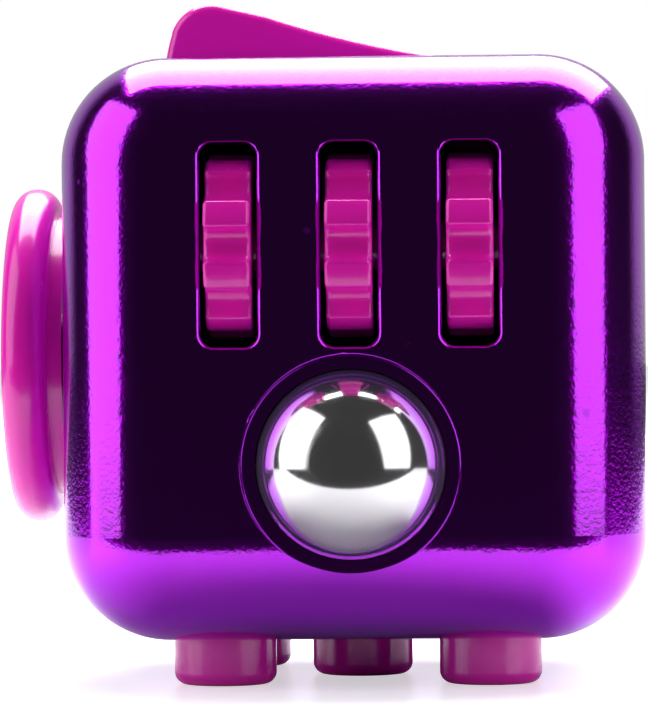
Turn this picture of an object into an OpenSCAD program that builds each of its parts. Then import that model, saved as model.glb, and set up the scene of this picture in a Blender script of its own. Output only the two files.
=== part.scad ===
// Fidget cube: a hand-size desk toy with a different small mechanism on each face.
// Front (-Y): three toothed wheels and a rolling, clicking ball.  Top (+Z): rocker switch.
// Left (-X): spinning dial.  Back (+Y): gliding joystick.  Right (+X): thumb dish.
// Bottom (-Z): five push buttons, which the cube stands on.
// Origin: centre of the middle button's tip, on the surface that the cube stands on.

/* [Body] */
// Length of the cube's sides
body_size = 33; // [31:0.5:40]
// Radius of every outer edge and corner
corner_radius = 6; // [5:0.25:7]
// Thickness of the shell's walls
wall = 1.8; // [1.6:0.1:2.2]
// Distance from the front face to the seam between the two shells
seam_depth = 4.9; // [4.5:0.1:5.5]
// Length of the pegs that hold the two shells together
peg_length = 3; // [2:0.5:3]
// Diameter of those pegs
peg_diameter = 1.6; // [1.2:0.1:1.8]

/* [Wheels] */
// Radius of a toothed wheel over its teeth
wheel_radius = 5.15; // [4.3:0.05:5.5]
// Width of a wheel's toothed rim
wheel_width = 2.6; // [2.2:0.1:3.1]
// Distance between two wheels, centre to centre
wheel_pitch = 6.7; // [6.2:0.1:7]
// Number of teeth on a wheel
wheel_teeth = 9; // [7:1:12]
// Depth of the gaps between the teeth
tooth_depth = 0.95; // [0.6:0.05:1.1]
// Height of the wheels' axle above the centre of the cube
wheel_rise = 5.75; // [5.5:0.05:6]
// How far the wheels stand out of the front face
wheel_proud = 1.8; // [1.4:0.1:2.1]
// Diameter of the wheels' axle
axle_diameter = 1.6; // [1.2:0.1:1.9]
// Gap between a wheel's teeth and the ends of its slot
slot_gap = 0.53; // [0.4:0.01:0.6]
// Gap between a wheel's sides and its slot
side_gap = 0.28; // [0.2:0.01:0.5]

/* [Ball] */
// Radius of the ball
ball_radius = 5.4; // [4.5:0.05:5.5]
// Distance from the centre of the cube down to the ball's centre
ball_drop = 6.5; // [6.3:0.05:6.8]
// How far the ball stands out of the front face
ball_proud = 3.7; // [3.2:0.1:3.8]
// Radius of the sunk ring around the ball
ball_ring_radius = 6; // [5.95:0.05:6.1]
// How much smaller than the ball the lip that holds it is
ball_lip = 0.06; // [0.05:0.01:0.1]
// How far the ball can be pushed in
ball_travel = 0.6; // [0.3:0.1:0.7]

/* [Rocker] */
// Distance from the rocker's pivot to its ends
rocker_reach = 11.15; // [10.4:0.05:11.3]
// Width of the rocker
rocker_width = 10; // [8.5:0.1:10.4]
// Tilt of the rocker from level, each way
rocker_tilt = 13; // [9:0.5:13]
// Height of the middle of the rocker's top over its pivot
rocker_rise = 2.75; // [2.5:0.05:3]
// Diameter of the rocker's pivot pin
rocker_pin_diameter = 1.2; // [1:0.1:1.3]
// Distance from the top face down to the rocker's pivot
pivot_depth = 1.5; // [1.4:0.05:1.6]

/* [Dial] */
// Diameter of the dial
dial_diameter = 19.6; // [16:0.1:22]
// Thickness of the dial's grip
dial_grip = 2.6; // [2:0.1:3]
// Height of the collar under the grip
dial_collar = 0.8; // [0.5:0.1:1]
// Gap between the collar and the shell
dial_gap = 0.4; // [0.3:0.05:0.5]
// Diameter of the dial's shaft
dial_shaft = 5; // [4:0.1:6]
// Distance from the centre of the cube down to the dial's centre
dial_drop = 0.3; // [0:0.1:1]

/* [Joystick] */
// Diameter of the joystick's cap
stick_cap = 11.8; // [11.6:0.1:13]
// Height of the cap's face above the back face
stick_proud = 2.8; // [2.4:0.1:3.4]
// How far the joystick glides each way
stick_travel = 1.3; // [0.8:0.1:1.3]
// Diameter of the joystick's stem
stick_stem = 4; // [3.6:0.1:4.2]

/* [Buttons] */
// Diameter of a button
button_diameter = 5.85; // [5:0.05:6]
// Distance from the middle button to the others, along X and along Y
button_pitch = 7.6; // [7.4:0.05:8]
// How far the buttons stand out of the bottom face
button_proud = 2.7; // [2.2:0.1:3.5]
// How far a button can be pushed
button_travel = 1; // [0.5:0.1:1.2]

/* [Thumb dish] */
// Radius of the dish's rim
dish_radius = 10.3; // [8:0.1:10.4]
// Depth of the dish
dish_depth = 2; // [1:0.1:2.4]

/* [Fits] */
// Radial clearance of a running fit
running_gap = 0.06; // [0.04:0.01:0.08]
// Clearance between a moving piece and the shell's opening around it
opening_gap = 0.1; // [0.08:0.01:0.2]
// Diameter of the thread of the small screws
screw_thread = 1.2; // [1:0.1:1.4]
// Diameter of the head of the small screws
screw_head = 2.2; // [2:0.1:2.4]

/* [Hidden] */
$fn = 96;

half = body_size / 2;
inner = half - wall;
inner_radius = corner_radius - wall;
// height of the cube's centre above the surface that it stands on
centre_height = half + button_proud;
seam_y = seam_depth - half;
overlap = 0.5;
far = 2 * body_size;

// radius of the rounded rims of the openings in the front face
rim = 0.3;

// bosses on the side walls, where the pegs of the front shell enter the rear shell
boss_radius = 1.6;
boss_x = inner - boss_radius + 0.1;
boss_z = [-7.5, 10.2];
// length of the bosses inside the front shell, which end in its rounded edge
front_boss = 2;
// the peg is bonded in its hole
peg_hole_depth = peg_length + 0.2;

// wheels
wheel_y = -half - wheel_proud + wheel_radius;
slot_width = wheel_width + 2 * side_gap;
slot_length = 2 * (wheel_radius + slot_gap);
slot_corner = 0.75;
hub_radius = 1.4;
rib_width = 2.8;
// a wheel's hub fills the space between two ribs, less the end play
end_play = 0.1;
hub_width = wheel_pitch - rib_width - 2 * end_play;
outer_rib_x = wheel_pitch + wheel_pitch / 2 - rib_width / 2;
outer_rib_width = 1.8;
axle_length = 2 * (outer_rib_x + outer_rib_width);
wheel_room = wheel_radius + 0.35;

// carrier behind the front face
carrier_back = wheel_y + wheel_room;
carrier_plate = 0.8;
carrier_screws = [[12.2, 6.3], [9.4, -3.4]];
carrier_ear_y = -half + 7.1;
carrier_ear = 1.2;
post_radius = 1.5;

// ball, cup and spring
ball_y = -half - ball_proud + ball_radius;
ball_opening = ball_radius - ball_lip;
ball_ring_depth = 0.6;
// clearance between the ball and the shell's spherical seat
ball_gap = 0.04;
cage_radius = ball_radius + 0.85;
cage_front = -half + 2.9;
cup_radius = 4.4;
cup_front = ball_y + sqrt(pow(ball_radius, 2) - pow(cup_radius, 2)) - 0.05;
cup_back = ball_y + ball_radius + 0.8;
sleeve_radius = cup_radius + running_gap + 0.8;
sleeve_end = cup_back + ball_travel + 0.4;
spring_pocket = 2.7;
spring_pocket_end = sleeve_end + 1.5;
cage_end = spring_pocket_end + 0.8;

// rocker, in its own frame: s along its length and t up, from the pivot
pivot_z = half - pivot_depth;
rocker_nose = 2.4;
nose_s = rocker_reach - rocker_nose;
nose_t = rocker_rise + 0.3 - rocker_nose;
rocker_dish_radius = 60;
rocker_skirt = 2.4;
rocker_wall = 1.2;
rocker_room = 0.25;
detent_reach = 4.2;
detent_radius = 0.6;
// height of the leaf spring's flat, which the tilted rocker's nose touches
leaf_z = pivot_z - detent_radius - (detent_reach - detent_radius) * cos(rocker_tilt) - 0.03;
leaf_thickness = 0.25;
leaf_width = 3;
leaf_half_length = 4.6;
bridge_top = leaf_z - leaf_thickness - 0.45;
bridge_half_length = 5.4;
rail_inner = rocker_width / 2 + rocker_room + 0.2;
rail_outer = rail_inner + 2.6;
rail_height = 1.6;
rail_half_length = 8.6;
bridge_wall = 1;
rocker_pin_length = 2 * (rail_inner + 1.4);
bracket_screws = [[-7, 1], [7, 1], [-7, -1], [7, -1]];

// dial
dial_rim = 1.25;
dial_inner_face = half + dial_gap;
washer_radius = dial_shaft / 2 + 1.7;
washer_thickness = 0.6;
shaft_end = inner - 0.08;
dial_screw_head = 1.9;

// joystick
stick_bowl_radius = 8.4;
stick_bowl_depth = 0.5;
// the two crossed glides together reach further than one alone
stick_sway = stick_travel * sqrt(2);
stick_hole = stick_stem / 2 + stick_sway + 0.1;
flange_radius = stick_hole + 0.6;
flange_top = inner - 0.5;
flange_thickness = 0.8;
slider_top = flange_top - flange_thickness - 0.1;
slider_thickness = 1.6;
slider_bottom = slider_top - slider_thickness;
block_half = 1.8;
slider_half_x = block_half + 2;
slider_half_z = block_half + stick_travel + 1.4;
ring_gap = 0.05;
housing_bore = flange_radius + stick_sway + ring_gap;
housing_radius = housing_bore + 1.15;
housing_bottom = slider_bottom - 1;
ear_x = housing_radius + 1.4;
ear_thickness = 1.6;
cap_thickness = 2.1;

// buttons
hole_radius = button_diameter / 2 + opening_gap;
flange_extra = 0.6;
button_flange = 0.7;
button_edge = 0.7;
flange_bottom = -inner + 0.05;
spring_seat = flange_bottom + button_flange;
plate_z = spring_seat + 2 * button_travel + 0.05;
plate_thickness = 1;
dome_height = 0.3;
dome_radius = 1.2;
stem_radius = 0.9;
plate_edge = button_pitch + 3.2;
plate_notch = 5.2;
plate_notch_y = -3.3;
plate_posts = [[-9.2, 0], [9.2, 0], [0, 9.2]];
button_places = [[-1, -1], [1, -1], [0, 0], [-1, 1], [1, 1]];
// the ones that click stand over a snap dome; the other two are silent
clicking_places = [0, 2, 4];

// thumb dish
dish_sphere = (pow(dish_radius, 2) + pow(dish_depth, 2)) / (2 * dish_depth);
dish_centre = half - dish_depth + dish_sphere;

moving_colour = [0.85, 0.1, 0.6];
shell_colour = [0.42, 0.1, 0.6];
inner_colour = [0.2, 0.2, 0.22];
steel_colour = [0.75, 0.76, 0.78];

// --- frames and shapes that repeat -------------------------------------------------

module at_body() {
    translate([0, 0, centre_height])
        children();
}

// each turns +Z to the outward direction of one face
module toward_front() {
    rotate([90, 0, 0])
        children();
}

module toward_back() {
    rotate([-90, 0, 0])
        children();
}

module toward_left() {
    rotate([0, -90, 0])
        children();
}

module box(low, high) {
    translate(low)
        cube(high - low);
}

module rounded_rectangle(width, height, radius) {
    square([width, height - 2 * radius], center = true);
    square([width - 2 * radius, height], center = true);
    for (x = [-1, 1], y = [-1, 1])
        translate([x * (width / 2 - radius), y * (height / 2 - radius)])
            circle(radius);
}

// a cube with all its edges and corners rounded; turn sets which way the corner spheres' poles point
module rounded_cube(size, radius, turn) {
    for (axis = [[0, 0, 0], [90, 0, 0], [0, 90, 0]])
        rotate(axis)
            linear_extrude(size - 2 * radius, center = true)
                rounded_rectangle(size, size, radius);
    for (x = [-1, 1], y = [-1, 1], z = [-1, 1])
        translate([x, y, z] * (size / 2 - radius))
            rotate(turn)
                sphere(radius);
}

// the part of the hollow cube between two planes across Y
module hollow_part(front, back, turn) {
    difference() {
        intersection() {
            rounded_cube(body_size, corner_radius, turn);
            box([-far, front, -far], [far, back, far]);
        }
        rounded_cube(2 * inner, inner_radius, turn);
    }
}

// a screw that enters along +Z, with its head's underside at the origin
module screw(thread, head, length, head_height = 0.8) {
    difference() {
        union() {
            translate([0, 0, -head_height])
                cylinder(d = head, h = head_height);
            translate([0, 0, -0.01])
                cylinder(d = thread, h = length + 0.01);
        }
        for (turn = [0, 90])
            rotate(turn)
                translate([0, 0, -head_height])
                    cube([head * 0.62, 0.3, 0.7], center = true);
    }
}

// points of one ring of a coil's wire
function wire_ring(radius, wire, turn, height, sides) = [
    for (i = [0:sides - 1])
        let (a = 360 * i / sides, r = radius + wire / 2 * cos(a))
        [r * cos(turn), r * sin(turn), height + wire / 2 * sin(a)]
];

// a coil spring along +Z, with a closed turn at each end
module coil_spring(radius, wire, length, turns) {
    sides = 8;
    per_turn = 14;
    dead = 1;
    rings = (turns + 2 * dead) * per_turn;
    pitch_length = length - wire - 2 * wire * dead;
    function rise(turn) =
        turn < dead ? wire * turn
        : turn > turns + dead ? wire * dead + pitch_length + wire * (turn - turns - dead)
        : wire * dead + pitch_length * (turn - dead) / turns;
    points = [
        for (k = [0:rings])
            each wire_ring(radius, wire, 360 * k / per_turn, wire / 2 + rise(k / per_turn), sides)
    ];
    walls = [
        for (k = [0:rings - 1], i = [0:sides - 1])
            let (a = k * sides + i, b = k * sides + (i + 1) % sides)
            each [[a, b, b + sides], [a, b + sides, a + sides]]
    ];
    start = [for (i = [sides - 1:-1:0]) i];
    finish = [for (i = [0:sides - 1]) rings * sides + i];
    polyhedron(points, concat(walls, [start, finish]));
}

// --- front shell --------------------------------------------------------------------

// a slot's cutting shape, along +Z into the wall, with a flared rim at the face
module slot_cutter() {
    linear_extrude(far, center = true)
        rounded_rectangle(slot_width, slot_length, slot_corner);
    translate([0, 0, -rim]) {
        for (x = [-1, 1])
            translate([x * slot_width / 2, 0, 0])
                rotate([90, 0, 0])
                    linear_extrude(slot_length - 2 * slot_corner, center = true)
                        rim_profile(x);
        for (y = [-1, 1])
            translate([0, y * slot_length / 2, 0])
                rotate([90, 0, 90])
                    linear_extrude(slot_width - 2 * slot_corner, center = true)
                        rim_profile(y);
        for (x = [-1, 1], y = [-1, 1])
            translate([x * (slot_width / 2 - slot_corner), y * (slot_length / 2 - slot_corner), 0])
                rotate_extrude()
                    translate([slot_corner, 0])
                        rim_profile(1);
    }
}

// what a quarter-round rim takes away beside an opening's wall
module rim_profile(side) {
    difference() {
        translate([side > 0 ? -0.1 : -rim, 0])
            square([rim + 0.1, rim + overlap]);
        translate([side * rim, 0])
            circle(rim);
    }
}

module wheel_slots() {
    for (i = [-1:1])
        translate([i * wheel_pitch, -half, wheel_rise])
            toward_front()
                slot_cutter();
}

module ball_opening() {
    translate([0, -half, -ball_drop])
        toward_front() {
            translate([0, 0, -ball_ring_depth])
                cylinder(r = ball_ring_radius, h = far);
            translate([0, 0, -wall - overlap])
                cylinder(r = ball_opening, h = far);
            translate([0, 0, -rim])
                rotate_extrude()
                    translate([ball_ring_radius, 0])
                        rim_profile(1);
        }
    translate([0, ball_y, -ball_drop])
        toward_front()
            sphere(ball_radius + ball_gap);
}

module front_shell() {
    color(shell_colour)
    at_body() {
        difference() {
            union() {
                hollow_part(-far, seam_y, [0, 0, 0]);
                carrier_posts();
                for (x = [-1, 1], z = boss_z)
                    translate([x * boss_x, seam_y, z])
                        toward_front()
                            cylinder(r = boss_radius, h = front_boss);
            }
            carrier_screw_holes();
            wheel_slots();
            ball_opening();
        }
        for (x = [-1, 1], z = boss_z)
            translate([x * boss_x, seam_y - 0.3, z])
                toward_back()
                    cylinder(d = peg_diameter, h = peg_length + 0.3);
    }
}

// posts that the carrier is screwed to
module carrier_posts() {
    for (x = [-1, 1], place = carrier_screws)
        translate([x * place[0], carrier_ear_y, place[1]])
            toward_front()
                cylinder(r = post_radius, h = inner + carrier_ear_y + 0.3);
}

module carrier_screw_holes() {
    for (x = [-1, 1], place = carrier_screws)
        translate([x * place[0], carrier_ear_y, place[1]])
            toward_front()
                cylinder(d = screw_thread, h = 4);
}

// --- rear shell ---------------------------------------------------------------------

module rocker_opening() {
    reach = rocker_reach + rocker_room;
    side = rocker_width / 2 + rocker_room;
    box([-reach, -side, inner - overlap], [reach, side, far]);
    translate([0, 0, pivot_z])
        toward_back()
            cylinder(d = rocker_pin_diameter, h = rocker_pin_length, center = true);
    box([-rocker_pin_diameter / 2, -rocker_pin_length / 2, inner - overlap],
        [rocker_pin_diameter / 2, rocker_pin_length / 2, pivot_z]);
}

module thumb_dish() {
    translate([dish_centre, 0, 0])
        sphere(dish_sphere, $fn = 200);
}

// the wall behind the thumb dish, which keeps its thickness there
module dish_backing() {
    intersection() {
        translate([dish_centre, 0, 0])
            sphere(dish_sphere + wall, $fn = 200);
        box([inner - 2 * dish_depth, -inner, -inner], [inner + 0.2, inner, inner]);
    }
}

module stick_opening() {
    bowl_sphere = (pow(stick_bowl_radius, 2) + pow(stick_bowl_depth, 2)) / (2 * stick_bowl_depth);
    translate([0, half - stick_bowl_depth + bowl_sphere, 0])
        sphere(bowl_sphere, $fn = 200);
    translate([0, inner - overlap, 0])
        toward_back()
            cylinder(r = stick_hole, h = far);
}

module button_holes() {
    for (place = button_places)
        translate([place[0] * button_pitch, place[1] * button_pitch, -far])
            cylinder(r = hole_radius, h = far - inner + overlap);
}

module rear_shell() {
    color(shell_colour)
    at_body()
        difference() {
            union() {
                hollow_part(seam_y, far, [90, 0, 0]);
                dish_backing();
                for (x = [-1, 1], z = boss_z)
                    translate([x * boss_x, seam_y, z])
                        toward_back()
                            cylinder(r = boss_radius, h = peg_length + 1);
                for (place = plate_posts)
                    translate([place[0], place[1], -inner - 0.3])
                        cylinder(r = post_radius, h = plate_z + inner + 0.3);
            }
            for (x = [-1, 1], z = boss_z)
                translate([x * boss_x, seam_y - overlap, z])
                    toward_back()
                        cylinder(d = peg_diameter, h = peg_hole_depth + overlap);
            rocker_opening();
            thumb_dish();
            stick_opening();
            button_holes();
            for (place = plate_posts)
                translate([place[0], place[1], plate_z - 2.4])
                    cylinder(d = screw_thread, h = 3);
            for (place = bracket_screws)
                translate([place[0], place[1] * (rail_inner + rail_outer) / 2, inner - overlap])
                    cylinder(d = screw_thread, h = overlap + 1.2);
            for (x = [-1, 1])
                translate([x * ear_x, inner - overlap, 0])
                    toward_back()
                        cylinder(d = screw_thread, h = overlap + 1.2);
            translate([-inner + overlap, 0, -dial_drop])
                toward_left()
                    cylinder(r = dial_shaft / 2 + running_gap, h = far);
        }
}

// --- wheels -------------------------------------------------------------------------

// a wheel's outline: a disc with a round gap between each two teeth
module wheel_outline() {
    land = 0.45 * 180 / wheel_teeth;
    gap_angle = 180 / wheel_teeth - land;
    half_gap = wheel_radius * sin(gap_angle);
    depth = tooth_depth - wheel_radius * (1 - cos(gap_angle));
    gap_radius = (pow(half_gap, 2) + pow(depth, 2)) / (2 * depth);
    difference() {
        circle(wheel_radius);
        for (i = [0:wheel_teeth - 1])
            rotate(180 + 360 * i / wheel_teeth)
                translate([wheel_radius - tooth_depth + gap_radius, 0])
                    circle(gap_radius, $fn = 48);
    }
}

module toothed_wheel(place) {
    color(moving_colour)
    at_body()
        translate([place * wheel_pitch, wheel_y, wheel_rise])
            rotate([0, 90, 0])
                rotate(90)
                    difference() {
                        union() {
                            linear_extrude(wheel_width, center = true)
                                wheel_outline();
                            cylinder(r = hub_radius, h = hub_width, center = true);
                        }
                        cylinder(r = axle_diameter / 2 + running_gap, h = far, center = true);
                    }
}

module left_wheel() {
    toothed_wheel(-1);
}

module middle_wheel() {
    toothed_wheel(0);
}

module right_wheel() {
    toothed_wheel(1);
}

module wheel_axle() {
    color(steel_colour)
    at_body()
        translate([0, wheel_y, wheel_rise])
            rotate([0, 90, 0])
                cylinder(d = axle_diameter, h = axle_length, center = true);
}

// --- carrier, ball and ball mechanism ------------------------------------------------

module carrier_ribs() {
    bottom = wheel_rise - 4.6;
    top = wheel_rise + 4.2;
    for (x = [-1, 1]) {
        translate([x * wheel_pitch / 2, 0, 0])
            box([-rib_width / 2, -inner, bottom], [rib_width / 2, carrier_back + 0.1, top]);
        translate([x * (outer_rib_x + outer_rib_width / 2), 0, 0])
            box([-outer_rib_width / 2, -inner, bottom], [outer_rib_width / 2, carrier_back + 0.1, top]);
    }
    half_width = outer_rib_x + outer_rib_width;
    box([-half_width, carrier_back, bottom], [half_width, carrier_back + carrier_plate, top]);
    box([-cage_radius + 1, carrier_back, -ball_drop], [cage_radius - 1, carrier_back + carrier_plate, top]);
}

module roll_carrier() {
    color(inner_colour)
    at_body()
        difference() {
            union() {
                carrier_ribs();
                translate([0, cage_front, -ball_drop])
                    toward_back() {
                        cylinder(r = cage_radius, h = carrier_back + carrier_plate - cage_front);
                        cylinder(r = sleeve_radius, h = sleeve_end + 0.8 - cage_front);
                        cylinder(r = spring_pocket + 0.8, h = cage_end - cage_front);
                    }
                for (x = [-1, 1], place = carrier_screws) {
                    translate([x * place[0], carrier_ear_y, place[1]])
                        toward_back()
                            cylinder(r = post_radius + 0.3, h = carrier_ear);
                    box([min(x * place[0], x * 5), carrier_ear_y, place[1] - 1.4],
                        [max(x * place[0], x * 5), carrier_ear_y + carrier_ear, place[1] + 1.4]);
                }
            }
            for (i = [-1:1])
                translate([i * wheel_pitch, wheel_y, wheel_rise])
                    rotate([0, 90, 0])
                        cylinder(r = wheel_room, h = wheel_pitch - rib_width, center = true);
            translate([0, wheel_y, wheel_rise])
                rotate([0, 90, 0])
                    cylinder(d = axle_diameter, h = far, center = true);
            translate([0, -far, -ball_drop])
                toward_back() {
                    cylinder(r = ball_radius + opening_gap,
                        h = far + ball_y + ball_travel + sqrt(pow(ball_radius, 2) - pow(cup_radius, 2)));
                    cylinder(r = cup_radius + running_gap, h = far + sleeve_end);
                    cylinder(r = spring_pocket, h = far + spring_pocket_end);
                }
            for (x = [-1, 1], place = carrier_screws)
                translate([x * place[0], 0, place[1]]) {
                    toward_front()
                        cylinder(d = screw_thread + 0.2, h = far, center = true);
                    translate([0, carrier_ear_y + carrier_ear, 0])
                        toward_back()
                            cylinder(d = screw_head + 0.5, h = far);
                }
        }
}

module roll_carrier_screws() {
    color(steel_colour)
    at_body()
        for (x = [-1, 1], place = carrier_screws)
            translate([x * place[0], carrier_ear_y + carrier_ear, place[1]])
                toward_front()
                    screw(screw_thread, screw_head, carrier_ear + 3.5);
}

module ball() {
    color(steel_colour)
    at_body()
        translate([0, ball_y, -ball_drop])
            sphere(ball_radius);
}

module ball_cup() {
    color("white")
    at_body()
        difference() {
            translate([0, cup_front, -ball_drop])
                toward_back() {
                    cylinder(r = cup_radius, h = cup_back - cup_front);
                    cylinder(r = 1.2, h = cup_back - cup_front + 0.6);
                }
            translate([0, ball_y, -ball_drop])
                sphere(ball_radius + 0.03);
        }
}

module ball_spring() {
    color(steel_colour)
    at_body()
        translate([0, cup_back, -ball_drop])
            toward_back()
                coil_spring(2, 0.35, spring_pocket_end - cup_back, 2);
}

// --- rocker -------------------------------------------------------------------------

module in_rocker_frame() {
    translate([0, 0, pivot_z])
        rotate([0, rocker_tilt, 0])
            children();
}

module rocker_outline() {
    difference() {
        union() {
            for (side = [-1, 1])
                translate([side * nose_s, nose_t])
                    circle(rocker_nose);
            intersection() {
                circle(rocker_reach);
                translate([-far, -rocker_skirt])
                    square([2 * far, rocker_skirt + nose_t]);
            }
            translate([-nose_s, -rocker_skirt])
                square([2 * nose_s, rocker_skirt + nose_t + rocker_nose]);
        }
        translate([0, rocker_rise + rocker_dish_radius])
            circle(rocker_dish_radius, $fn = 300);
    }
}

module rocker() {
    inside = rocker_width / 2 - rocker_wall;
    color(moving_colour)
    at_body()
        in_rocker_frame()
            difference() {
                union() {
                    difference() {
                        rotate([90, 0, 0])
                            linear_extrude(rocker_width, center = true)
                                rocker_outline();
                        box([-nose_s - 0.6, -inside, -far], [nose_s + 0.6, inside, rocker_rise - 1.3]);
                    }
                    toward_back()
                        cylinder(r = rocker_pin_diameter / 2 + 1, h = 2 * inside + 0.4, center = true);
                    box([-detent_radius, -1.2, -detent_reach + detent_radius],
                        [detent_radius, 1.2, rocker_rise - 1]);
                    translate([0, 0, -detent_reach + detent_radius])
                        toward_back()
                            cylinder(r = detent_radius, h = 2.4, center = true);
                }
                toward_back()
                    cylinder(r = rocker_pin_diameter / 2 + running_gap, h = far, center = true);
            }
}

module rocker_pin() {
    color(steel_colour)
    at_body()
        translate([0, 0, pivot_z])
            toward_back()
                cylinder(d = rocker_pin_diameter, h = rocker_pin_length, center = true);
}

module rocker_bracket() {
    color(inner_colour)
    at_body()
        difference() {
            union() {
                for (side = [-1, 1]) {
                    box([-rail_half_length, min(side * rail_inner, side * rail_outer), inner - rail_height],
                        [rail_half_length, max(side * rail_inner, side * rail_outer), inner]);
                    box([-bridge_half_length, min(side * rail_inner, side * (rail_inner + bridge_wall)),
                            bridge_top - 1],
                        [bridge_half_length, max(side * rail_inner, side * (rail_inner + bridge_wall)), inner]);
                }
                box([-bridge_half_length, -rail_inner - 0.2, bridge_top - 1],
                    [bridge_half_length, rail_inner + 0.2, bridge_top]);
                for (side = [-1, 1])
                    translate([side * (bridge_half_length - 0.6), 0, 0])
                        box([-0.6, -leaf_width / 2, bridge_top - 0.1],
                            [0.6, leaf_width / 2, leaf_z - leaf_thickness]);
            }
            translate([0, 0, pivot_z])
                toward_back()
                    cylinder(d = rocker_pin_diameter, h = rocker_pin_length, center = true);
            for (place = bracket_screws)
                translate([place[0], place[1] * (rail_inner + rail_outer) / 2, inner - 2 * rail_height])
                    cylinder(d = screw_thread + 0.2, h = 3 * rail_height);
        }
}

// a leaf of spring steel with a raised middle, which the rocker's nose snaps over
module rocker_detent_spring() {
    rise = 0.4;
    reach = 0.5;
    color(steel_colour)
    at_body()
        toward_front()
            linear_extrude(leaf_width - 0.2, center = true)
                translate([0, leaf_z])
                    polygon([
                        [-leaf_half_length - 0.6, -leaf_thickness], [-leaf_half_length - 0.6, 0],
                        [-reach, 0], [0, rise], [reach, 0],
                        [leaf_half_length + 0.6, 0], [leaf_half_length + 0.6, -leaf_thickness],
                        [reach, -leaf_thickness], [0, rise - leaf_thickness], [-reach, -leaf_thickness]
                    ]);
}

module rocker_bracket_screws() {
    color(steel_colour)
    at_body()
        for (place = bracket_screws)
            translate([place[0], place[1] * (rail_inner + rail_outer) / 2, inner - rail_height])
                screw(screw_thread, screw_head, rail_height + 1.1);
}

// --- dial ---------------------------------------------------------------------------

module dial() {
    radius = dial_diameter / 2;
    color(moving_colour)
    at_body()
        translate([0, 0, -dial_drop])
        toward_left()
            difference() {
                union() {
                    translate([0, 0, dial_inner_face + dial_collar])
                        rotate_extrude() {
                            square([radius - dial_rim, dial_grip]);
                            translate([0, dial_rim])
                                square([radius, dial_grip - 2 * dial_rim]);
                            for (edge = [dial_rim, dial_grip - dial_rim])
                                translate([radius - dial_rim, edge])
                                    circle(dial_rim);
                        }
                    translate([0, 0, dial_inner_face])
                        cylinder(r = radius - 1.6, h = dial_collar + 0.1);
                    translate([0, 0, shaft_end])
                        cylinder(d = dial_shaft, h = dial_inner_face - shaft_end + 0.1);
                }
                translate([0, 0, shaft_end - overlap])
                    cylinder(d = screw_thread + 0.4, h = 4 + overlap);
            }
}

module dial_washer() {
    color(steel_colour)
    at_body()
        translate([-shaft_end, 0, -dial_drop])
            toward_left()
                translate([0, 0, -washer_thickness])
                    difference() {
                        cylinder(r = washer_radius, h = washer_thickness);
                        translate([0, 0, -overlap])
                            cylinder(d = screw_thread + 0.6, h = washer_thickness + 2 * overlap);
                    }
}

module dial_screw() {
    color(steel_colour)
    at_body()
        translate([-shaft_end + washer_thickness, 0, -dial_drop])
            toward_left()
                screw(screw_thread + 0.4, 2 * dial_screw_head, washer_thickness + 3.6);
}

// --- joystick -----------------------------------------------------------------------

module joystick_cap() {
    radius = stick_cap / 2;
    bottom = half + stick_proud - cap_thickness;
    color(moving_colour)
    at_body()
        toward_back()
            translate([0, 0, bottom])
                difference() {
                    rotate_extrude() {
                        square([radius - 0.8, cap_thickness]);
                        square([radius, cap_thickness - 0.8]);
                        translate([radius - 0.8, cap_thickness - 0.8])
                            circle(0.8);
                    }
                    translate([0, 0, cap_thickness + 17.6])
                        sphere(18, $fn = 200);
                    translate([0, 0, -overlap])
                        cylinder(d = stick_stem - 1.6, h = overlap + 1.2);
                }
}

module joystick_stem() {
    cap_bottom = half + stick_proud - cap_thickness;
    color(inner_colour)
    at_body()
        toward_back() {
            translate([0, 0, slider_top])
                cylinder(d = stick_stem, h = cap_bottom - slider_top);
            translate([0, 0, cap_bottom - 0.1])
                cylinder(d = stick_stem - 1.6, h = 1.3);
            translate([0, 0, flange_top - flange_thickness])
                cylinder(r = flange_radius, h = flange_thickness);
            box([-block_half, -block_half, slider_bottom + 0.1], [block_half, block_half, slider_top + 0.1]);
        }
}

module joystick_slider() {
    gap = running_gap;
    color("white")
    at_body()
        toward_back()
            difference() {
                box([-slider_half_x, -slider_half_z, slider_bottom],
                    [slider_half_x, slider_half_z, slider_top]);
                box([-block_half - gap, -block_half - stick_travel - gap, slider_bottom - overlap],
                    [block_half + gap, block_half + stick_travel + gap, slider_top + overlap]);
            }
}

module joystick_housing() {
    gap = running_gap;
    color(inner_colour)
    at_body()
        toward_back()
            difference() {
                union() {
                    translate([0, 0, housing_bottom])
                        cylinder(r = housing_radius, h = inner - housing_bottom);
                    for (side = [-1, 1]) {
                        translate([side * ear_x, 0, inner - ear_thickness])
                            cylinder(r = post_radius + 0.3, h = ear_thickness);
                        box([min(side * ear_x, side * (housing_bore + 0.4)), -1.6, inner - ear_thickness],
                            [max(side * ear_x, side * (housing_bore + 0.4)), 1.6, inner]);
                    }
                }
                translate([0, 0, slider_top + 0.02])
                    cylinder(r = housing_bore, h = far);
                box([-slider_half_x - stick_travel - gap, -slider_half_z - gap, slider_bottom - gap],
                    [slider_half_x + stick_travel + gap, slider_half_z + gap, far]);
                for (side = [-1, 1])
                    translate([side * ear_x, 0, inner - far])
                        cylinder(d = screw_thread + 0.2, h = 2 * far);
            }
}

// a soft ring that brings the stem back to the middle
module joystick_centring_ring() {
    color("black")
    at_body()
        toward_back()
            translate([0, 0, flange_top - flange_thickness])
                difference() {
                    cylinder(r = housing_bore - ring_gap, h = flange_thickness);
                    translate([0, 0, -overlap])
                        cylinder(r = flange_radius, h = flange_thickness + 2 * overlap);
                }
}

module joystick_housing_screws() {
    color(steel_colour)
    at_body()
        for (side = [-1, 1])
            translate([side * ear_x, inner - ear_thickness, 0])
                toward_back()
                    screw(screw_thread, screw_head, ear_thickness + 1.1);
}

// --- buttons ------------------------------------------------------------------------

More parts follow.
